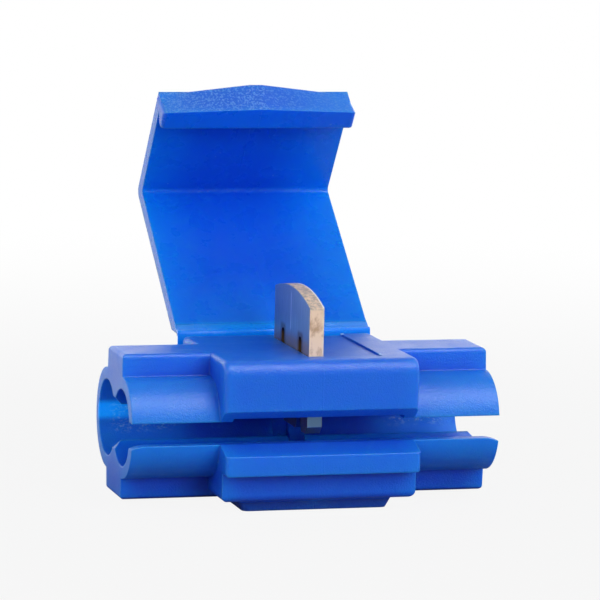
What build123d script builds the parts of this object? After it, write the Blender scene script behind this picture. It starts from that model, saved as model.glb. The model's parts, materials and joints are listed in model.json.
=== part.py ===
from build123d import *
from math import radians, sin, sqrt
import os

# Insulation-displacement tap connector: a moulded housing with two wire channels,
# a flap lid on a living hinge with a latch hook, and a slotted brass blade contact.
# X runs along the wires, the side entry slot faces -Y, the hinge is at +Y, +Z is up.
# The origin is the centre of the foot's underside. Everything is in millimetres.

# Wire channels and the shell round them
housing_length = 25.0      # over the end faces, at the height of the wires
end_draft = 0.5            # degrees each end face leans in above and below the wires
wire_height = 5.25         # the wires' axes above the foot's underside
wire_pitch = 4.2           # between the two channels
channel_merge = 0.2        # each channel reaches past the middle plane by this, so the two join
channel_stretch = 0.5      # between the centres of a channel's roof and floor
shell_wall = 0.8           # plastic outside the channels
slot_gap = 1.5             # side entry slot, lip to lip
relief_height = 0.25       # the slot's roof is this much higher under the middle block
relief_inset = 0.8         # from each end of that block
lead_length = 0.5          # bevel on the web between the channels, at each end
lead_height = 0.55
lip_lead_length = 1.3      # the lower lip curves down towards each end
lip_lead_depth = 0.22

# Ribs on the two end sections
rib_height = 1.47          # above the shell
rib_width = 4.1            # at its top
rib_draft = 3.0            # degrees on each side of a rib
rib_rounding = 0.3

# Middle block, which holds the contact and carries the lid
block_length = 13.2
block_top_back = 5.2       # y of the top face's rear edge
block_front = 6.2          # the upper front face, in front of the middle plane
block_front_height = 1.55  # the front face's lower edge, above the wires
block_rounding = 0.9       # top front edge
corner_rounding = 0.35     # the block's upright edges
block_underside = 4.5      # the block's bottom, below the wires
lower_front = 5.85         # the lower front face, under the latch ledge
lower_length = 13.15
lower_rounding = 0.5
ledge_front = 6.85
ledge_top = 1.3            # the ledge's upper edge, below the wires
ledge_bottom = 2.6         # its underside, below the wires
ledge_rounding = 0.25      # the ledge's outer corners
foot_length = 10.7         # where it leaves the block
foot_slope = 0.45          # each end of the pad slopes in by this
foot_width = 9.8
foot_rounding = 0.4

# Shallow recess in the top face, beside the contact
recess_side = 4.45         # x of its outer edge
recess_front = 4.5         # its front edge, in front of the middle plane
recess_depth = 0.13

# Living hinge along the block's rear edge
hinge_y = 6.3
hinge_rise = 0.08          # the hinge axis above the block's top face
strip_thickness = 0.6      # upright strip that carries the film
strip_groove_depth = 1.4   # groove between the strip and the block's top
bead_radius = 0.2          # the film's rounded root on the lid
bead_clearance = 0.03      # round the bead in its cradle
cradle_depth = 0.12        # the strip's top below the hinge axis

# Lid: an L of two panels that ends in a hook
lid_width = 13.5
lid_thickness = 1.0
lid_lean = 37.4            # degrees above level, as it stands open
skirt_gap = 0.65           # closed, between the skirt and the ledge
root_taper = 1.3           # length over which the panel thins to the bead
root_edge = 0.1            # panel thickness where it leaves the bead
crease_rounding = 0.6
hook_reach = 1.45          # from the skirt's inner face to the barb's tip
hook_depth = 0.85          # from the barb to the hook's outer edge, at the lid's sides
hook_clearance = 0.05      # closed, between the barb and the ledge
film_give = 0.2            # closed, the film lets the lid sit this much lower than it swings
barb_thickness = 0.6
barb_gap_depth = 0.65      # undercut between the barb and the skirt
barb_gap_flat = 0.1        # level part at the foot of that undercut
hook_overhang = 0.1        # the hook stands wider than the panels by this, each side
hook_rounding = 0.3        # its outer edge and its four corners
gable_rise = 1.15          # the outer edge is higher in the middle, over the skirt
fold_rise = 0.3            # the same over the barb
gable_flat = 0.9
hook_slope = 0.27          # the outer edge's fall from the skirt to the barb, in the middle

# Contact blade
blade_thickness = 1.0
blade_width = 8.6
blade_height = 9.25        # at the crown of its arched top
arch_front = 0.85          # the crown above the top's front end
arch_back = 0.5            # and above its back end
blade_slot = 0.7
blade_slot_depth = 6.2     # from the points up, to the slot's rounded end
blade_mouth = 1.5          # width of each slot at the points
blade_mouth_depth = 0.9
blade_point = 0.5          # bevel on the two outer corners
blade_stand = 4.04         # the crown above the block's top face, as it stands open
blade_clearance = 0.06     # each side in its cavity
blade_floor = 0.25         # free depth left under the pressed blade

# Worked out from the sizes above
channel_y = wire_pitch / 2
channel_radius = channel_y + channel_merge
shell_radius = channel_radius + shell_wall
shell_top = channel_stretch / 2 + shell_radius
rib_top = shell_top + rib_height
block_top = rib_top
hinge_z = wire_height + block_top + hinge_rise
block_back = hinge_y + strip_thickness / 2
web_tip = channel_stretch / 2 + sqrt(channel_radius**2 - channel_y**2)
lid_reach = hinge_y + ledge_front + skirt_gap
barb_start = block_top + hinge_rise + ledge_bottom + hook_clearance - film_give
overlap = 0.5              # how far a cutter or a fused piece runs past its neighbour
tolerance = 0.01           # for picking edges by their place


def stadium(radius, centre_y):
    """Section of a bar with a rounded roof and floor, in the YZ plane."""
    body = Pos(centre_y, 0) * Rectangle(2 * radius, channel_stretch)
    for side in (-1, 1):
        body += Pos(centre_y, side * channel_stretch / 2) * Circle(radius)
    return body


def along_wires(section, length):
    """Extrude a YZ section, drawn about the wires' height, evenly both ways along X."""
    plane = Plane(origin=(0, 0, wire_height), x_dir=(0, 1, 0), z_dir=(1, 0, 0))
    return extrude(plane * section, length / 2, both=True)


def shell():
    """The outer form of the wire channels, closed across between the two."""
    outline = stadium(shell_radius, -channel_y) + stadium(shell_radius, channel_y)
    outline += Rectangle(wire_pitch, 2 * shell_top)
    return along_wires(outline, housing_length)


def ribs():
    """One rib along the top and one along the bottom, drafted and with rounded outer edges."""
    half = rib_width / 2
    spread = (rib_height + overlap) * sin(radians(rib_draft))
    found = []
    for side in (-1, 1):
        root = side * (shell_top - overlap)
        tip = side * rib_top
        section = Polygon(
            (-half - spread, root), (half + spread, root), (half, tip), (-half, tip), align=None)
        rib = along_wires(section, housing_length) & end_trim()
        outer = rib.faces().sort_by(Axis.Z)[-1 if side > 0 else 0]
        found.append(fillet(outer.edges(), rib_rounding))
    return found


def block():
    """The upper block, with its rounded front and the strip that carries the hinge."""
    top = block_top
    lip = slot_gap / 2
    inner = channel_y + shell_radius - overlap
    groove_floor = top - strip_groove_depth
    strip_front = hinge_y - strip_thickness / 2
    strip_top = top + hinge_rise - cradle_depth
    upper = Polygon(
        (-inner, lip), (-channel_y - shell_radius, lip),
        (-block_front, block_front_height), (-block_front, top),
        (block_top_back, top), (block_top_back, groove_floor), (strip_front, groove_floor),
        (strip_front, strip_top), (block_back, strip_top), (block_back, lip), align=None)
    solid = along_wires(upper, block_length)
    front_edge = solid.edges().filter_by(Axis.X).sort_by(lambda e: e.center().Z - e.center().Y)[-1]
    return fillet(front_edge, block_rounding)


def lower_block():
    """The part under the slot: the entry ramp, the latch ledge and the narrower base."""
    lip = slot_gap / 2
    inner = channel_y + shell_radius - overlap
    ledge = Polygon(
        (-inner, -lip), (-channel_y - shell_radius, -lip), (-ledge_front, -ledge_top),
        (-ledge_front, -ledge_bottom), (-inner, -ledge_bottom), align=None)
    base = Polygon(
        (-lower_front, -ledge_bottom + overlap), (-lower_front, -block_underside),
        (block_back, -block_underside), (block_back, -ledge_bottom + overlap), align=None)
    back_wall = Polygon(
        (inner, lip + overlap), (block_back, lip + overlap), (block_back, -ledge_bottom),
        (inner, -ledge_bottom), align=None)
    base_solid = along_wires(base, lower_length)
    base_solid = fillet(base_solid.edges().group_by(Axis.Z)[0], lower_rounding)
    ledge_solid = along_wires(ledge, block_length)
    corners = ledge_solid.edges().filter_by(Axis.Z).group_by(Axis.Y)[0]
    corners += ledge_solid.edges().filter_by(Axis.Y).group_by(Axis.Z)[0]
    return fillet(corners, ledge_rounding) + base_solid + along_wires(back_wall, lower_length)


def foot():
    """The raised pad that the connector stands on, with sloping ends."""
    height = wire_height - block_underside
    wide = foot_length / 2
    narrow = wide - foot_slope
    side = Polygon((-narrow, 0), (narrow, 0), (wide, height), (wide, height + overlap),
                   (-wide, height + overlap), (-wide, height), align=None)
    pad = extrude(Plane.XZ * side, foot_width / 2, both=True)
    sloping = pad.edges().filter_by(lambda e: abs(e.center().Y) > foot_width / 3
                                    and 0 < e.center().Z < height and abs(e.center().X) > narrow / 2)
    return fillet(sloping, foot_rounding)


def end_trim():
    """A bar whose two ends lean in above and below the wires, which drafts the end faces."""
    half = housing_length / 2
    lean = rib_top * sin(radians(end_draft))
    reach = wire_height + block_top + hinge_rise + overlap
    low = -overlap
    side = [(half - lean, reach), (half, wire_height), (half - lean, low)]
    outline = Polygon(*side, *[(-x, z) for x, z in reversed(side)], align=None)
    return extrude(Plane.XZ * outline, ledge_front + block_back, both=True)


def channels():
    """The two wire channels, the side entry slot, and the bevels on the web between them."""
    bores = along_wires(stadium(channel_radius, -channel_y) + stadium(channel_radius, channel_y),
                        housing_length + 2 * overlap)
    reach = ledge_front + overlap
    slot = Pos(0, -reach / 2 - channel_y / 2, wire_height) * Box(
        housing_length + 2 * overlap, reach - channel_y, slot_gap)
    relief = Pos(0, -reach / 2 - channel_y / 2, wire_height + slot_gap / 2) * Box(
        block_length - 2 * relief_inset, reach - channel_y, 2 * relief_height)
    cut = bores + slot + relief
    half = housing_length / 2
    for end in (-1, 1):
        for up in (-1, 1):
            bevel = Polygon(
                (end * (half + overlap), 0), (end * (half + overlap), up * (web_tip + lead_height)),
                (end * half, up * (web_tip + lead_height)), (end * (half - lead_length), up * web_tip),
                (end * (half - lead_length), 0), align=None)
            cut += Pos(0, 0, wire_height) * extrude(Plane.XZ * bevel, channel_y, both=True)
        lip = -slot_gap / 2
        start = end * (half - lip_lead_length)
        lead = ThreePointArc((start, lip), (end * (half - lip_lead_length / 3), lip - lip_lead_depth / 3),
                             (end * half, lip - lip_lead_depth))
        rest = Polyline((end * half, lip - lip_lead_depth), (end * (half + overlap), lip - lip_lead_depth),
                        (end * (half + overlap), lip + overlap), (start, lip + overlap), (start, lip))
        wedge = Pos(0, -channel_y, wire_height) * extrude(Plane.XZ * make_face(lead + rest), reach)
        cut += wedge
    return cut


def blade_cavity():
    """The slit that guides the contact, deep enough for it to go in flush."""
    top = wire_height + block_top
    depth = blade_height + blade_floor
    return Pos(0, 0, top - depth) * Box(
        blade_thickness + 2 * blade_clearance, blade_width + 2 * blade_clearance, depth + overlap,
        align=(Align.CENTER, Align.CENTER, Align.MIN))


def recess():
    """The shallow recess in the top face, from the contact's slit to one side."""
    start = blade_thickness / 2
    length = recess_front + block_top_back + overlap
    return Pos(start, -recess_front, wire_height + block_top - recess_depth) * Box(
        recess_side - start, length, recess_depth + overlap, align=Align.MIN)


def housing():
    body = shell() & end_trim()
    for rib in ribs():
        body += rib
    upper = block()
    uprights = upper.edges().filter_by(Axis.Z).sort_by(Axis.Y)[:2]
    body += fillet(uprights, corner_rounding)
    body += lower_block()
    body += foot()
    body -= channels()
    body -= blade_cavity()
    body -= recess()
    cradle = Cylinder(bead_radius + bead_clearance, block_length + 2 * overlap)
    return body - Pos(0, hinge_y, hinge_z) * Rot(0, 90, 0) * cradle


def lid():
    """Drawn lying along its own panel, then leaned back to the angle it stands open at."""
    wall = lid_thickness
    outer_end = lid_reach + wall
    pocket = barb_start + barb_gap_depth
    panels = Polygon(
        (0, 0), (lid_reach, 0), (lid_reach, pocket + overlap), (outer_end, pocket + overlap),
        (outer_end, -wall), (root_taper, -wall), (0, -root_edge), align=None)
    side = Plane(origin=(0, 0, 0), x_dir=(0, 1, 0), z_dir=(1, 0, 0))
    body = extrude(side * panels, lid_width / 2, both=True)
    outer_corner = body.edges().filter_by(Axis.X).sort_by(lambda e: e.center().Z - e.center().Y)[0]
    body = fillet(outer_corner, crease_rounding)
    inner_corner = body.edges().filter_by(Axis.X).sort_by(
        lambda e: abs(e.center().Y - lid_reach) + abs(e.center().Z))[0]
    body = fillet(inner_corner, crease_rounding / 2)
    body += hook(side, pocket)
    body += Rot(0, 90, 0) * Cylinder(bead_radius, lid_width)
    return Pos(0, hinge_y, hinge_z) * Rot(lid_lean, 0, 0) * body


def hook(side, pocket):
    """The thick outer edge of the skirt and the barb under it, still lying along the panel."""
    outer_end = lid_reach + lid_thickness
    barb_inner = lid_reach - hook_reach
    peak = barb_start + hook_depth + gable_rise
    half = lid_width / 2 + hook_overhang
    block_side = Polygon(
        (barb_inner, barb_start), (barb_inner + barb_thickness, barb_start),
        (lid_reach - barb_gap_flat, pocket),
        (outer_end, pocket), (outer_end, peak), (barb_inner, peak), align=None)
    body = extrude(side * block_side, half, both=True) - gable_trim(peak)
    back = body.edges().filter_by(lambda e: e.center().Y > outer_end - tolerance
                                  and e.center().Z > pocket + tolerance)
    ends = body.edges().filter_by(lambda e: abs(e.center().X) > half - tolerance
                                  and barb_inner + tolerance < e.center().Y < outer_end - tolerance
                                  and e.center().Z > peak - gable_rise - tolerance)
    front = body.edges().filter_by(Axis.Z).filter_by(lambda e: e.center().Y < barb_inner + tolerance)
    return fillet(back + ends + front, hook_rounding)


def gable_trim(peak):
    """What the hook's outer edge loses: more towards the lid's sides and towards the barb."""
    half = lid_width / 2 + overlap
    front = lid_reach - hook_reach
    back = lid_reach + lid_thickness
    above = peak + gable_rise
    middle = gable_flat / 2
    low = peak - hook_slope
    cut = None
    for inner, outer in ((middle, half), (-middle, -half), (-middle, middle)):
        near_end, far_end = (low, peak) if inner == -outer else (low - fold_rise, peak - gable_rise)
        near = Polyline((inner, front, low), (outer, front, near_end), (outer, front, above),
                        (inner, front, above), close=True)
        far = Polyline((inner, back, peak), (outer, back, far_end), (outer, back, above),
                       (inner, back, above), close=True)
        piece = loft([make_face(near), make_face(far)], ruled=True)
        cut = piece if cut is None else cut + piece
    return cut


def contact():
    """The blade: an arched top, two slots that cut to the wires, and bevelled points."""
    half = blade_width / 2
    front = (-half, blade_height - arch_front)
    back = (half, blade_height - arch_back)
    crown = half * (sqrt(arch_front / arch_back) - 1) / (sqrt(arch_front / arch_back) + 1)
    arch = ThreePointArc(back, (crown, blade_height), front)
    sides = Polyline(
        front, (-half, blade_point), (-half + blade_point, 0),
        (half - blade_point, 0), (half, blade_point), back)
    plate = make_face(arch + sides)
    for side in (-1, 1):
        centre = side * channel_y
        end = blade_slot_depth - blade_slot / 2
        plate -= Pos(centre, end / 2) * Rectangle(blade_slot, end)
        plate -= Pos(centre, end) * Circle(blade_slot / 2)
        plate -= Polygon(
            (centre - blade_mouth / 2, 0), (centre + blade_mouth / 2, 0),
            (centre + blade_slot / 2, blade_mouth_depth),
            (centre - blade_slot / 2, blade_mouth_depth), align=None)
    side_plane = Plane(origin=(0, 0, 0), x_dir=(0, 1, 0), z_dir=(1, 0, 0))
    body = extrude(side_plane * plate, blade_thickness / 2, both=True)
    bottom = wire_height + block_top + blade_stand - blade_height
    return Pos(0, 0, bottom) * body


nodes = {"housing": housing, "lid": lid, "contact": contact}

os.makedirs("parts", exist_ok=True)
for name, make in nodes.items():
    piece = make()
    piece.label = name
    export_step(piece, f"parts/{name}.step")
    print(name, "volume", round(piece.volume, 1), "solids", len(piece.solids()))
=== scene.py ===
import json
import math

import bmesh
import bpy
from mathutils import Matrix, Vector


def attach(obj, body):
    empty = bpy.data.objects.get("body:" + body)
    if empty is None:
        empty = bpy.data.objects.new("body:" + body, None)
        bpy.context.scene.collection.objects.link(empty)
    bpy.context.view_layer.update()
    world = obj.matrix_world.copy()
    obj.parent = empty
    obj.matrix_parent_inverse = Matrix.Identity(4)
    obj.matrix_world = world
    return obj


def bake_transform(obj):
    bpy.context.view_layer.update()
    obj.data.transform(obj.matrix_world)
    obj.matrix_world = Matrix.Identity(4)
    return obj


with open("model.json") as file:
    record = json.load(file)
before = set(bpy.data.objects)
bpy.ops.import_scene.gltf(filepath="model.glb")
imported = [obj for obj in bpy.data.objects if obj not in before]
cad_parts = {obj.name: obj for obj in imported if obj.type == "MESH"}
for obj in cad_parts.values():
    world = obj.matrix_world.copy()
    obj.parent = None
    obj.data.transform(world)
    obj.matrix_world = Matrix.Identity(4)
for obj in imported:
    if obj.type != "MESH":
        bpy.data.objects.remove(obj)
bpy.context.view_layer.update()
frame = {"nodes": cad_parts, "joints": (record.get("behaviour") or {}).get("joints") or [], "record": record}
mm = 0.001
housing, lid, contact = (frame["nodes"][name] for name in ("housing", "lid", "contact"))
hinge = next(joint for joint in frame["joints"] if joint["name"] == "lid_hinge")
hingeY, hingeZ = (hinge["pos_m"][index] / mm for index in (1, 2))
channel = next(mount for mount in frame["record"]["mounts"] if mount["name"] == "wire_channel_back")
channelY, wireHeight = (channel["pos_m"][index] / mm for index in (1, 2))
channelRadius = channel["dims"]["r_mm"]
panelLean = math.radians(37.4)  # the lid's first panel above the level, as it stands open
print("frame loaded")


# a value that flows between shader nodes, written as ordinary maths
class Flow:
    def __init__(self, recipe, socket):
        self.recipe = recipe
        self.socket = socket

    def maths(self, operation, *others):
        values = dict(enumerate((self, *others)))
        return self.recipe.node("ShaderNodeMath", {"operation": operation}, values)

    def __add__(self, other):
        return self.maths("ADD", other)

    def __radd__(self, other):
        return self.maths("ADD", other)

    def __sub__(self, other):
        return self.maths("SUBTRACT", other)

    def __rsub__(self, other):
        return self.recipe.value(other).maths("SUBTRACT", self)

    def __mul__(self, other):
        return self.maths("MULTIPLY", other)

    def __rmul__(self, other):
        return self.maths("MULTIPLY", other)

    def __pow__(self, other):
        return self.maths("POWER", other)

    def __abs__(self):
        return self.maths("ABSOLUTE")

    def most(self, other):
        return self.maths("MAXIMUM", other)

    def above(self, edge, soft):
        return self.recipe.node("ShaderNodeMapRange", {"interpolation_type": "SMOOTHSTEP"},
                                {0: self, 1: edge - soft, 2: edge + soft, 3: 0.0, 4: 1.0})

    def below(self, edge, soft):
        return 1 - self.above(edge, soft)

    def near(self, centre, halfWidth, soft):
        return abs(self - centre).below(halfWidth, soft)

    def between(self, low, high, soft):
        return self.above(low, soft) * self.below(high, soft)


# one node tree, the surface it ends in, and short words for its nodes
class Recipe:
    def __init__(self, owner):
        owner.use_nodes = True
        self.owner = owner
        self.tree = owner.node_tree
        self.tree.nodes.clear()

    def node(self, kind, settings=None, values=None, output=0):
        made = self.tree.nodes.new(kind)
        for key, setting in (settings or {}).items():
            setattr(made, key, setting)
        for key, value in (values or {}).items():
            if isinstance(value, Flow):
                self.tree.links.new(value.socket, made.inputs[key])
            else:
                made.inputs[key].default_value = value
        return Flow(self, made.outputs[output])

    def value(self, number):
        flow = self.node("ShaderNodeValue")
        flow.socket.default_value = number
        return flow

    def place(self):
        metres = self.node("ShaderNodeTexCoord", output="Object")
        return self.scaled(metres, (1 / mm, 1 / mm, 1 / mm))

    def scaled(self, vector, factors):
        return self.node("ShaderNodeVectorMath", {"operation": "MULTIPLY"}, {0: vector, 1: factors})

    def axes(self, vector):
        split = self.node("ShaderNodeSeparateXYZ", None, {0: vector})
        outputs = split.socket.node.outputs
        return [Flow(self, outputs[index]) for index in range(3)]

    def noise(self, vector, scale, detail=3.0, rough=0.5):
        return self.node("ShaderNodeTexNoise", None,
                         {"Vector": vector, "Scale": scale, "Detail": detail, "Roughness": rough})

    def blend(self, factor, first, second):
        colours = {6: first, 7: second}
        colours = {key: each if isinstance(each, Flow) else (*each, 1.0) for key, each in colours.items()}
        return self.node("ShaderNodeMix", {"data_type": "RGBA"}, {0: factor, **colours}, output=2)

    def bump(self, height, strength, distance, normal=None):
        values = {"Height": height, "Strength": strength, "Distance": distance * mm}
        if normal is not None:
            values["Normal"] = normal
        return self.node("ShaderNodeBump", None, values)

    def dot(self, first, second):
        pair = {0: first, 1: second}
        return self.node("ShaderNodeVectorMath", {"operation": "DOT_PRODUCT"}, pair, output="Value")

    def ray(self, kind):
        return self.node("ShaderNodeLightPath", output=f"Is {kind} Ray")

    def finish(self, surface, kind="ShaderNodeOutputMaterial"):
        end = self.tree.nodes.new(kind)
        self.tree.links.new(surface.socket, end.inputs["Surface"])
        return self.owner


# a colour given as screen values from 0 to 255, in the linear shares that Blender takes
def linear(*levels):
    shares = [level / 255 for level in levels]
    return tuple(s / 12.92 if s <= 0.04045 else ((s + 0.055) / 1.055) ** 2.4 for s in shares)


# the camera stands where the photograph's did, a little to the left and looking slightly down
photoCamera = {
    "turn": 15.825, "height": 8.007, "roll": 1.353, "distance": 260.394,
    "aimAcross": 0.031, "aimUp": 7.861, "lens": 234.28, "sensor": 36.0, "clipStart": 5.0,
}


def placeCamera():
    turn, height, roll = (math.radians(photoCamera[key]) for key in ("turn", "height", "roll"))
    ahead = Vector((math.sin(turn) * math.cos(height),
                    math.cos(turn) * math.cos(height), -math.sin(height)))
    across = ahead.cross(Vector((0, 0, 1))).normalized()
    up = across.cross(ahead)
    target = across * photoCamera["aimAcross"] + up * photoCamera["aimUp"]
    target = (target + Vector((0, 0, wireHeight))) * mm
    right = across * math.cos(roll) + up * math.sin(roll)
    top = up * math.cos(roll) - across * math.sin(roll)
    data = bpy.data.cameras.new("photoCamera")
    data.lens = photoCamera["lens"]
    data.sensor_width = photoCamera["sensor"]
    data.clip_start = photoCamera["clipStart"] * mm
    camera = bpy.data.objects.new("photoCamera", data)
    bpy.context.scene.collection.objects.link(camera)
    turned = Matrix((right, top, -ahead)).transposed().to_4x4()
    camera.matrix_world = Matrix.Translation(target - ahead * photoCamera["distance"] * mm) @ turned
    bpy.context.scene.camera = camera


placeCamera()
print("camera placed")

# a white sweep behind, soft boxes in front and to both sides, as round the photographed part
studio = {
    "backLeft": 1.7, "backRight": 1.45, "front": 0.12, "overhead": 0.09, "mirrorMore": 1.35,
    "floorColour": (0.30, 0.30, 0.31), "floorWash": 0.90, "floorMirror": 1.0,
    "floorReach": 4000.0, "floorDrop": 0.02,
    # edge and softness of each blend: three on the dome, then two on the floor in millimetres
    "sides": (0.0, 0.4), "depth": (0.0, 0.5), "dome": (0.6, 0.25),
    "farFloor": (90, 60), "backFloor": (25, 25),
    "boxSize": 260.0, "boxDistance": 550.0, "boxAim": 8.0,
    # direction, watts, and whether plain surfaces and gloss show the box
    "boxes": {
        "front_low": ((30, -90, 29), 1.10, True, False), "front_high": ((27, -50, 84), 0.45, True, False),
        "shine": ((27, -50, 84), 1.90, False, True), "left": ((-80, -50, 45), 0.90, True, True),
        "right": ((80, -50, 45), 0.80, True, True), "back_top": ((0, 60, 80), 0.15, True, True),
    },
}


def buildSweep():
    world = bpy.data.worlds.new("studioWorld")
    bpy.context.scene.world = world
    sky = Recipe(world)
    x, y, z = sky.axes(sky.node("ShaderNodeTexCoord", output="Generated"))
    behind = x.above(*studio["sides"]) * (studio["backRight"] - studio["backLeft"]) + studio["backLeft"]
    behind = behind * (sky.ray("Glossy") * (studio["mirrorMore"] - 1) + 1)
    horizon = studio["front"] + y.above(*studio["depth"]) * (behind - studio["front"])
    shade = horizon + z.above(*studio["dome"]) * (studio["overhead"] - horizon)
    seen = sky.ray("Camera").most(sky.ray("Transmission"))
    strength = shade + seen * (1 - shade)
    sky.finish(sky.node("ShaderNodeBackground", None, {"Strength": strength}), "ShaderNodeOutputWorld")


def paleFloor():
    recipe = Recipe(bpy.data.materials.new("paleFloor"))
    diffuse = recipe.node("ShaderNodeBsdfDiffuse", None, {"Color": (*studio["floorColour"], 1.0)})
    white = recipe.node("ShaderNodeEmission", None, {"Strength": studio["floorMirror"]})
    x, y, _ = recipe.axes(recipe.place())
    away = ((x * x + y * y) ** 0.5).above(*studio["farFloor"])
    wash = away * (1 - studio["floorWash"]) + studio["floorWash"]
    mirrored = recipe.ray("Glossy") * y.above(*studio["backFloor"])
    seen = recipe.ray("Camera").most(recipe.ray("Transmission"))
    factor = (wash * seen).most(mirrored)
    return recipe.finish(recipe.node("ShaderNodeMixShader", None, {0: factor, 1: diffuse, 2: white}))


def layFloor():
    reach = studio["floorReach"] * mm
    corners = [(-reach, -reach, 0), (reach, -reach, 0), (reach, reach, 0), (-reach, reach, 0)]
    mesh = bpy.data.meshes.new("floor")
    mesh.from_pydata(corners, [], [(0, 1, 2, 3)])
    mesh.materials.append(paleFloor())
    floor = bpy.data.objects.new("floor", mesh)
    floor.location.z = -studio["floorDrop"] * mm
    bpy.context.scene.collection.objects.link(floor)


def hangBoxes():
    aim = Vector((0, 0, studio["boxAim"] * mm))
    for name, (direction, power, plain, gloss) in studio["boxes"].items():
        data = bpy.data.lights.new(name, "AREA")
        data.shape = "SQUARE"
        data.size = studio["boxSize"] * mm
        data.energy = power
        box = bpy.data.objects.new(name, data)
        box.visible_diffuse = plain
        box.visible_glossy = gloss
        box.location = Vector(direction).normalized() * (studio["boxDistance"] * mm)
        box.rotation_euler = (aim - box.location).to_track_quat("-Z", "Y").to_euler()
        bpy.context.scene.collection.objects.link(box)


buildSweep()
layFloor()
hangBoxes()
print("studio lit")

# translucent blue polypropylene with painted shade and light: dull blue where nearby parts shade it, greener
# where open, and greener where thin as painted light coming through
# lengths are millimetres, a blend is its edge and softness, a noise its scale, detail and roughness
mouldedBlue = {
    "open": (0.0080, 0.168, 0.84), "closed": (0.0050, 0.058, 0.66),
    "openReach": 6.0, "openBlend": (0.62, 0.34), "cloudNoise": (0.25, 2.0), "cloudShare": 0.15,
    "thin": linear(12, 144, 246), "thinAmount": 0.6, "thinReach": 1.5, "thinBlend": (0.45, 0.5),
    "rough": 0.34, "patchRough": 0.08, "patchNoise": (0.7, 4.0), "patchBlend": (0.52, 0.25),
    "gloss": 0.5, "index": 1.52, "bumpHeight": 0.02, "witness": 0.5, "witnessWidth": (0.03, 0.02),
    "ripple": 0.9, "rippleNoise": (1.6, 2.0), "grain": 1.7, "grainNoise": (9.5, 2.0, 0.6),
    "glow": 0.6, "glowReach": 0.9, "glowColour": (0.10, 0.42, 1.0), "litStrength": 0.85,
    "edge": 0.13, "edgeHighlight": linear(70, 150, 236), "edgeHighlightAmount": 0.45,
    "edgeHighlightBlend": (0.86, 0.11), "edgeHighlightOpen": (0.45, 0.2),
    "hair": linear(70, 140, 236), "hairAmount": 0.20, "hairNoise": (0.55, 2.0),
    "hairWidth": (0.0022, 0.0016), "hairPlaces": (0.8, 1.0), "hairBlend": (0.57, 0.03),
}
lidBlue = {
    **mouldedBlue, "open": (0.0016, 0.104, 0.76), "closed": (0.0016, 0.070, 0.68),
    "thinAmount": 0.9, "thinReach": 0.7, "grain": 0.5, "rough": 0.25, "gloss": 0.35,
}
filmBlue = {**lidBlue, "open": (0.002, 0.19, 0.97), "closed": (0.002, 0.19, 0.97), "thinAmount": 0.0}


# marks are pairs of mask and colour, extras are bump heights, and lit is a painted glow that stands for
# light coming through
def blueSurface(recipe, place, blue, extras=(), marks=(), lit=None, moreRough=0.0):
    # painted shade: the closed blue where nearby parts hide the light, the open blue where they don't
    openness = recipe.node("ShaderNodeAmbientOcclusion", {"samples": 8},
                           {"Distance": blue["openReach"] * mm}, output="AO")
    depth = recipe.node("ShaderNodeAmbientOcclusion", {"inside": True, "samples": 8},
                        {"Distance": blue["thinReach"] * mm}, output="AO")
    clouds = recipe.noise(place, *blue["cloudNoise"]) * blue["cloudShare"]
    spread = openness.above(*blue["openBlend"]) * (1 - blue["cloudShare"]) + clouds
    colour = recipe.blend(spread, blue["closed"], blue["open"])
    # painted light: greener where the wall is thin, standing for light that comes through it
    colour = recipe.blend((1 - depth).above(*blue["thinBlend"]) * blue["thinAmount"], colour, blue["thin"])
    for mask, paint in marks:
        colour = recipe.blend(mask, colour, paint)

    rounded = recipe.node("ShaderNodeBevel", {"samples": 8}, {"Radius": blue["edge"] * mm})
    flat = recipe.node("ShaderNodeNewGeometry", output="Normal")
    # painted highlight: lighter blue along rounded edges in open places, where they catch the light
    edgeHighlight = recipe.dot(rounded, flat).below(*blue["edgeHighlightBlend"]) * openness.above(*blue["edgeHighlightOpen"])
    colour = recipe.blend(edgeHighlight * blue["edgeHighlightAmount"], colour, blue["edgeHighlight"])
    hairs = recipe.noise(place, *blue["hairNoise"]).near(0.5, *blue["hairWidth"])
    hairs = hairs * recipe.noise(place, *blue["hairPlaces"]).above(*blue["hairBlend"])
    colour = recipe.blend(hairs * blue["hairAmount"], colour, blue["hair"])

    witness = recipe.axes(place)[0].near(0.0, *blue["witnessWidth"])
    height = recipe.noise(place, *blue["rippleNoise"]) * blue["ripple"]
    height = height + recipe.noise(place, *blue["grainNoise"]) * blue["grain"] + witness * blue["witness"]
    for extra in extras:
        height = height + extra
    patches = recipe.noise(place, *blue["patchNoise"]).above(*blue["patchBlend"])
    values = {
        "Base Color": colour, "Roughness": patches * blue["patchRough"] + blue["rough"] + moreRough,
        "Normal": recipe.bump(height, 1.0, blue["bumpHeight"], rounded),
        "IOR": blue["index"], "Specular IOR Level": blue["gloss"], "Subsurface Weight": blue["glow"],
        "Subsurface Radius": blue["glowColour"], "Subsurface Scale": blue["glowReach"] * mm,
    }
    if lit is not None:
        values.update({"Emission Color": lit, "Emission Strength": blue["litStrength"]})
    return recipe.node("ShaderNodeBsdfPrincipled", {"subsurface_method": "RANDOM_WALK"}, values)


# a painted glow stands for daylight coming through the back channel's wall near its ends, and scuffs mark
# its inside
backWall = {
    "thick": (0.28, 0.05), "behindWeb": (0.9, 0.5), "endBlend": (9.9, 2.2), "band": (-0.45, 0.65, 0.25),
    "dim": 0.06, "light": (0.0, 0.20, 0.60), "rough": 0.30,
    "scuff": (0.30, 0.62, 0.95), "scuffAmount": 0.5, "scuffHeight": 1.2,
    "scuffStretch": (1.0, 1.0, 1.8), "scuffNoise": (3.0, 4.0, 0.7), "scuffBlend": (0.57, 0.08),
    "scuffsAlong": (7.6, 11.6, 0.6), "scuffsUp": (-1.3, 0.6, 0.3),
}
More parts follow.
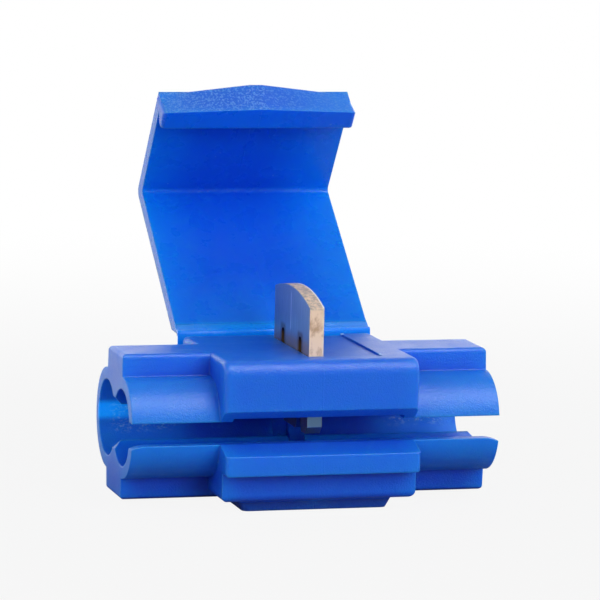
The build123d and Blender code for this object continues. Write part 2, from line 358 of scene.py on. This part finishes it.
# painted shade: the foot is darker blue, in the shadow of the lower block
footShade = {"top": (0.58, 0.05), "amount": 0.6, "colour": (0.006, 0.020, 0.22)}
scratch = {
    "along": (-8.5, -6.9, 0.12), "y": -0.5, "width": (0.05, 0.03), "bend": 0.22, "bendFrom": 0.5,
    "above": (3.1, 0.05), "amount": 0.7, "colour": (0.30, 0.58, 0.95),
}


def housingPlastic():
    recipe = Recipe(bpy.data.materials.new("housingPlastic"))
    place = recipe.place()
    x, y, z = recipe.axes(place)
    up = z - wireHeight
    across = y - channelY
    reach = (across * across + up * up) ** 0.5
    inner = reach.near(channelRadius, *backWall["thick"]) * across.above(*backWall["behindWeb"])
    # painted glow: emission on the channel's inner wall near the ends, brightest in a band
    light = abs(x).above(*backWall["endBlend"]) * inner
    light = light * (up.between(*backWall["band"]) * (1 - backWall["dim"]) + backWall["dim"])
    lit = recipe.blend(light, (0.0, 0.0, 0.0), backWall["light"])

    scuffs = recipe.noise(recipe.scaled(place, backWall["scuffStretch"]), *backWall["scuffNoise"])
    scuffs = scuffs.above(*backWall["scuffBlend"]) * inner
    scuffs = scuffs * abs(x).between(*backWall["scuffsAlong"]) * up.between(*backWall["scuffsUp"])
    bend = (x - scratch["along"][0] - scratch["bendFrom"]) ** 2 * scratch["bend"]
    line = (y + bend).near(scratch["y"], *scratch["width"])
    line = line * x.between(*scratch["along"]) * up.above(*scratch["above"])
    marks = [
        # painted shade at the foot
        (z.below(*footShade["top"]) * footShade["amount"], footShade["colour"]),
        (scuffs * backWall["scuffAmount"], backWall["scuff"]),
        (line * scratch["amount"], scratch["colour"]),
    ]
    extras = [scuffs * backWall["scuffHeight"]]
    moreRough = inner * backWall["rough"]
    return recipe.finish(blueSurface(recipe, place, mouldedBlue, extras, marks, lit, moreRough))


# painted light: the film is painted greenest in a strip below its crease, where light comes through from
# behind, and a painted glow stands for light coming through all of it, a little stronger above the crease
filmStrip = {
    "top": (0.02, 0.06), "amount": 0.85, "colour": (0.0004, 0.22, 0.97),
    "lightAbove": (0.004, 0.085, 0.25), "lightBelow": (0.0, 0.060, 0.24),
}


def filmPlastic():
    recipe = Recipe(bpy.data.materials.new("filmPlastic"))
    place = recipe.place()
    height = recipe.axes(place)[2] - hingeZ
    # painted light: greener strip below the crease, and a painted glow over the whole film
    strip = height.below(*filmStrip["top"])
    lit = recipe.blend(strip, filmStrip["lightAbove"], filmStrip["lightBelow"])
    marks = [(strip * filmStrip["amount"], filmStrip["colour"])]
    return recipe.finish(blueSurface(recipe, place, filmBlue, (), marks, lit))


# painted light: greener at the sides, more on the right, and near the hinge; the hook's top is spark-eroded,
# with a painted sheen and painted glints, and its front is painted lighter
lidMarks = {
    "side": (0.0010, 0.250, 0.96), "sideAmount": 0.85, "sideMiddle": -0.7, "sideFrom": (5.0, 3.4),
    "lowAmount": 0.55, "lowTo": (3.4, 3.4), "hookFrom": (7.4, 0.2),
    "top": (0.02, 0.22, 0.80), "topAmount": 0.35, "topFacing": (0.90, 0.05), "topRough": 0.25,
    "front": (0.0040, 0.160, 0.95), "frontAmount": 0.9, "frontFacing": (0.60, 0.15),
    "coarseTo": (0.6, 0.4), "coarseMore": 0.5, "coarseAll": 0.6,
    "pitHeight": 3.0, "pitNoise": (6.0, 3.0, 0.7),
    "glint": (0.16, 0.42, 0.92), "glintAmount": 0.60,
    "glintNoise": (6.5, 2.0, 0.6), "glintBlend": (0.56, 0.09),
    "dust": (0.25, 0.50, 0.90), "dustAmount": 0.4, "dustNoise": (2.6, 1.0, 0.5), "dustBlend": (0.80, 0.02),
}


def lidPlastic():
    recipe = Recipe(bpy.data.materials.new("lidPlastic"))
    place = recipe.place()
    x, y, z = recipe.axes(place)
    y, z = y - hingeY, z - hingeZ
    along = y * math.cos(panelLean) + z * math.sin(panelLean)
    out = z * math.cos(panelLean) - y * math.sin(panelLean)
    outward = (0.0, -math.sin(panelLean), math.cos(panelLean))
    facing = recipe.dot(recipe.node("ShaderNodeTexCoord", output="Normal"), outward)

    hook = out.above(*lidMarks["hookFrom"])
    # painted sheen on the hook's top and painted light on its front, chosen by which way the faces turn
    top = facing.above(*lidMarks["topFacing"]) * hook
    front = facing.below(*lidMarks["frontFacing"]) * hook
    eroded = top * (x.below(*lidMarks["coarseTo"]) * lidMarks["coarseMore"] + lidMarks["coarseAll"])
    # painted glints: bright specks standing for highlights on the eroded top
    glints = recipe.noise(place, *lidMarks["glintNoise"]).above(*lidMarks["glintBlend"]) * eroded
    # painted light: greener towards the lid's sides and near the hinge
    side = abs(x - lidMarks["sideMiddle"]).above(*lidMarks["sideFrom"]) * lidMarks["sideAmount"]
    low = along.below(*lidMarks["lowTo"]) * lidMarks["lowAmount"]
    dust = recipe.noise(place, *lidMarks["dustNoise"]).above(*lidMarks["dustBlend"])
    marks = [
        (side.most(low), lidMarks["side"]), (top * lidMarks["topAmount"], lidMarks["top"]),
        (front * lidMarks["frontAmount"], lidMarks["front"]),
        (glints * lidMarks["glintAmount"], lidMarks["glint"]),
        (dust * lidMarks["dustAmount"], lidMarks["dust"]),
    ]
    extras = [recipe.noise(place, *lidMarks["pitNoise"]) * eroded * lidMarks["pitHeight"]]
    moreRough = top * lidMarks["topRough"]
    return recipe.finish(blueSurface(recipe, place, lidBlue, extras, marks, None, moreRough))


# places are millimetres in the part's frame, and the blade's slots stand over the channels
tinnedBrass = {
    "face": (0.488, 0.01), "shoulder": (13.15, 0.12), "slotTop": (11.16, 0.1), "legTop": (9.4, 0.3),
    "tin": linear(156, 184, 206), "dull": linear(112, 138, 160),
    "streakStretch": (1.0, 4.0, 0.5), "streakNoise": (1.6, 4.0),
    "stroke": (0.90, 0.93, 1.0), "strokeY": 0.25, "strokeWidth": (0.045, 0.04),
    "strokeUp": (11.2, 13.7, 0.2),
    "halo": linear(96, 72, 50), "haloAmount": 0.75, "haloWidth": (0.62, 0.22), "haloTop": (11.36, 0.18),
    "cut": linear(250, 222, 196), "stain": linear(176, 132, 92), "brownerBelow": (10.9, 0.4),
    "stainStretch": (1.0, 1.0, 0.6), "stainNoise": (2.6, 5.0, 0.6),
    "stainBlend": (0.66, 0.16), "stainAmount": 0.75,
    # more stain in a band below the shoulder and near the block
    "upperBand": (11.3, 12.9, 0.5), "upperMore": 0.16, "lowerBand": (10.5, 0.3), "lowerMore": 0.14,
    "arch": linear(150, 146, 146), "archAmount": 0.8,
    "archNoise": (3.6, 4.0, 0.7), "archBlend": (0.50, 0.16),
    "rim": (0.95, 0.93, 0.90), "rimFrom": (0.40, 0.03), "rimBelow": 0.3,
    "slotBrown": linear(100, 76, 38), "slotDark": linear(34, 38, 44), "slotDarkFrom": (10.75, 0.25),
    "slotWidth": (0.42, 0.02), "leg": linear(150, 196, 232),
    "metal": 0.18, "metalPlated": 0.72, "rough": 0.50, "roughPlated": -0.16,
    "edge": 0.06, "grit": 0.5, "gritNoise": (7.0, 4.0, 0.6), "streakHeight": 0.4, "bumpHeight": 0.02,
}


def bladeMetal():
    brass = tinnedBrass
    recipe = Recipe(bpy.data.materials.new("bladeMetal"))
    place = recipe.place()
    x, y, z = recipe.axes(place)
    fromSlot = abs(abs(y) - channelY)
    face = abs(x).above(*brass["face"])
    leg = z.below(*brass["legTop"])

    # the plated faces
    streaks = recipe.noise(recipe.scaled(place, brass["streakStretch"]), *brass["streakNoise"])
    stroke = y.near(brass["strokeY"], *brass["strokeWidth"]) * z.between(*brass["strokeUp"])
    tin = recipe.blend(streaks, brass["dull"], brass["tin"])
    tin = recipe.blend(stroke, tin, brass["stroke"])
    # the plated faces turn darker and browner towards the bottom, below the slots' tops
    tin = recipe.blend(z.below(*brass["brownerBelow"]) * streaks, tin, brass["stain"])
    halo = fromSlot.below(*brass["haloWidth"]) * z.below(*brass["haloTop"])
    tin = recipe.blend(halo * brass["haloAmount"], tin, brass["halo"])

    # the sheared edges: stained in front, mottled on the arch, bright at the rim, brown low in the slots and
    # near black higher up
    blotches = recipe.noise(recipe.scaled(place, brass["stainStretch"]), *brass["stainNoise"])
    blotches = blotches + z.between(*brass["upperBand"]) * brass["upperMore"]
    blotches = blotches + z.below(*brass["lowerBand"]) * brass["lowerMore"]
    stained = blotches.above(*brass["stainBlend"]) * brass["stainAmount"]
    cut = recipe.blend(stained, brass["cut"], brass["stain"])
    arch = z.above(*brass["shoulder"])
    mottle = recipe.noise(place, *brass["archNoise"]).above(*brass["archBlend"])
    mottle = recipe.blend(mottle, brass["arch"], brass["cut"])
    cut = recipe.blend(arch * brass["archAmount"], cut, mottle)
    rim = x.above(*brass["rimFrom"]) * (arch * (1 - brass["rimBelow"]) + brass["rimBelow"])
    cut = recipe.blend(rim, cut, brass["rim"])
    slotWall = fromSlot.below(*brass["slotWidth"]) * z.below(*brass["slotTop"])
    slotTone = recipe.blend(z.above(*brass["slotDarkFrom"]), brass["slotBrown"], brass["slotDark"])
    cut = recipe.blend(slotWall, cut, slotTone)
    # painted reflection: the leg below the block is tin painted light blue, standing for the blue plastic it
    # mirrors
    cut = recipe.blend(leg, cut, brass["leg"])

    plated = face.most(leg)
    grit = recipe.noise(place, *brass["gritNoise"])
    rounded = recipe.node("ShaderNodeBevel", {"samples": 6}, {"Radius": brass["edge"] * mm})
    height = grit * brass["grit"] + streaks * brass["streakHeight"]
    return recipe.finish(recipe.node("ShaderNodeBsdfPrincipled", None, {
        "Base Color": recipe.blend(face, cut, tin),
        "Metallic": plated * brass["metalPlated"] + brass["metal"],
        "Roughness": plated * brass["roughPlated"] + brass["rough"],
        "Normal": recipe.bump(height, 1.0, brass["bumpHeight"], rounded),
    }))


def dress(node, material):
    node.data.materials.clear()
    node.data.materials.append(material)


dress(housing, housingPlastic())
dress(lid, lidPlastic())
dress(contact, bladeMetal())
print("materials made")


# a prism along the wires from a closed outline in the YZ plane, millimetres
def prism(name, outline, left, right):
    made = bmesh.new()
    ends = [[made.verts.new((x * mm, y * mm, z * mm)) for y, z in outline] for x in (left, right)]
    count = len(outline)
    for index in range(count):
        after = (index + 1) % count
        made.faces.new((ends[0][index], ends[0][after], ends[1][after], ends[1][index]))
    made.faces.new(ends[0])
    made.faces.new(ends[1][::-1])
    bmesh.ops.recalc_face_normals(made, faces=made.faces)
    mesh = bpy.data.meshes.new(name)
    made.to_mesh(mesh)
    made.free()
    piece = bpy.data.objects.new(name, mesh)
    bpy.context.scene.collection.objects.link(piece)
    return piece


# the living hinge: the skin that runs on from the strip into the lid
# points are millimetres from the hinge axis, back and up, or along the panel and out of it
hingeFilm = {
    "halfWidth": 6.77, "stripFront": -0.31, "foot": -0.85,
    "crest": [(-0.31, -0.04), (-0.292, 0.07), (-0.24, 0.155), (-0.15, 0.205), (-0.03, 0.205)],
    "onLid": [(0.22, 0.07), (0.42, 0.03), (0.70, 0.012), (0.95, -0.02)],
    "under": [(0.60, -0.12), (0.10, -0.04)],
    "root": [(-0.12, -0.02), (-0.18, -0.30), (-0.18, -0.85)],
    "bendFrom": (-0.25, -0.05), "bendTo": 0.45,
}


def onPanel(along, out):
    back = along * math.cos(panelLean) - out * math.sin(panelLean)
    up = along * math.sin(panelLean) + out * math.cos(panelLean)
    return back, up


def fromHinge(back, up):
    return Vector((0, (hingeY + back) * mm, (hingeZ + up) * mm))


def makeHingeFilm():
    outline = [(hingeFilm["stripFront"], hingeFilm["foot"]), *hingeFilm["crest"]]
    outline += [onPanel(*point) for point in hingeFilm["onLid"] + hingeFilm["under"]]
    outline += hingeFilm["root"]
    outline = [(y + hingeY, z + hingeZ) for y, z in outline]
    film = prism("hinge_film", outline, -hingeFilm["halfWidth"], hingeFilm["halfWidth"])
    for face in film.data.polygons:
        face.use_smooth = abs(face.normal.x) < 0.5
    film.data.materials.append(filmPlastic())
    start = fromHinge(*hingeFilm["bendFrom"])
    end = fromHinge(*onPanel(hingeFilm["bendTo"], 0.0))
    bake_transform(film)


makeHingeFilm()
print("hinge film made")

# pale slivers on the housing that paint bright spots: a painted reflection of white on the block's top at
# the left and painted highlights at the recess's ends; middle and sizes in millimetres, turn about Z in
# degrees
brightSpots = {
    "bright_spot_block_left": ((-6.80, 2.9, 10.00), (0.30, 0.85, 0.10), 12),
    "bright_spot_recess_back": ((4.40, 4.75, 10.09), (0.34, 0.16, 0.14), 25),
    "bright_spot_recess_front": ((4.52, -3.9, 10.05), (0.20, 0.55, 0.07), -12),
}
brightSpotSkin = {
    "blue": (0.06, 0.32, 0.88), "pale": (0.36, 0.56, 0.94), "patchNoise": (5.0, 2.0),
    "rough": 0.3, "patchRough": 0.2, "bumpNoise": (9.0, 2.0), "bumpHeight": 0.02,
    "uneven": 0.25, "waves": (9, 7),
}


def brightSpotPlastic():
    recipe = Recipe(bpy.data.materials.new("brightSpotPlastic"))
    place = recipe.place()
    patches = recipe.noise(place, *brightSpotSkin["patchNoise"])
    bumps = recipe.noise(place, *brightSpotSkin["bumpNoise"])
    return recipe.finish(recipe.node("ShaderNodeBsdfPrincipled", None, {
        "Base Color": recipe.blend(patches, brightSpotSkin["blue"], brightSpotSkin["pale"]),
        "Roughness": patches * brightSpotSkin["patchRough"] + brightSpotSkin["rough"],
        "Normal": recipe.bump(bumps, 1.0, brightSpotSkin["bumpHeight"]),
    }))


def makeSliver(name, middle, size, turn, material):
    made = bmesh.new()
    bmesh.ops.create_icosphere(made, subdivisions=2, radius=0.5 * mm)
    alongX, alongY = brightSpotSkin["waves"]
    for vert in made.verts:
        wave = math.sin(vert.co.x / mm * alongX + vert.co.y / mm * alongY)
        vert.co *= 1 + brightSpotSkin["uneven"] * wave
    bmesh.ops.scale(made, vec=size, verts=made.verts)
    bmesh.ops.rotate(made, matrix=Matrix.Rotation(math.radians(turn), 3, "Z"), verts=made.verts)
    bmesh.ops.translate(made, vec=Vector(middle) * mm, verts=made.verts)
    mesh = bpy.data.meshes.new(name)
    made.to_mesh(mesh)
    made.free()
    mesh.materials.append(material)
    sliver = bpy.data.objects.new(name, mesh)
    bpy.context.scene.collection.objects.link(sliver)
    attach(sliver, "housing")


# painted reflection and painted highlights as pale slivers
pale = brightSpotPlastic()
for name, (middle, size, turn) in brightSpots.items():
    makeSliver(name, middle, size, turn, pale)
print("flash made")

bpy.context.scene.view_settings.view_transform = "Standard"
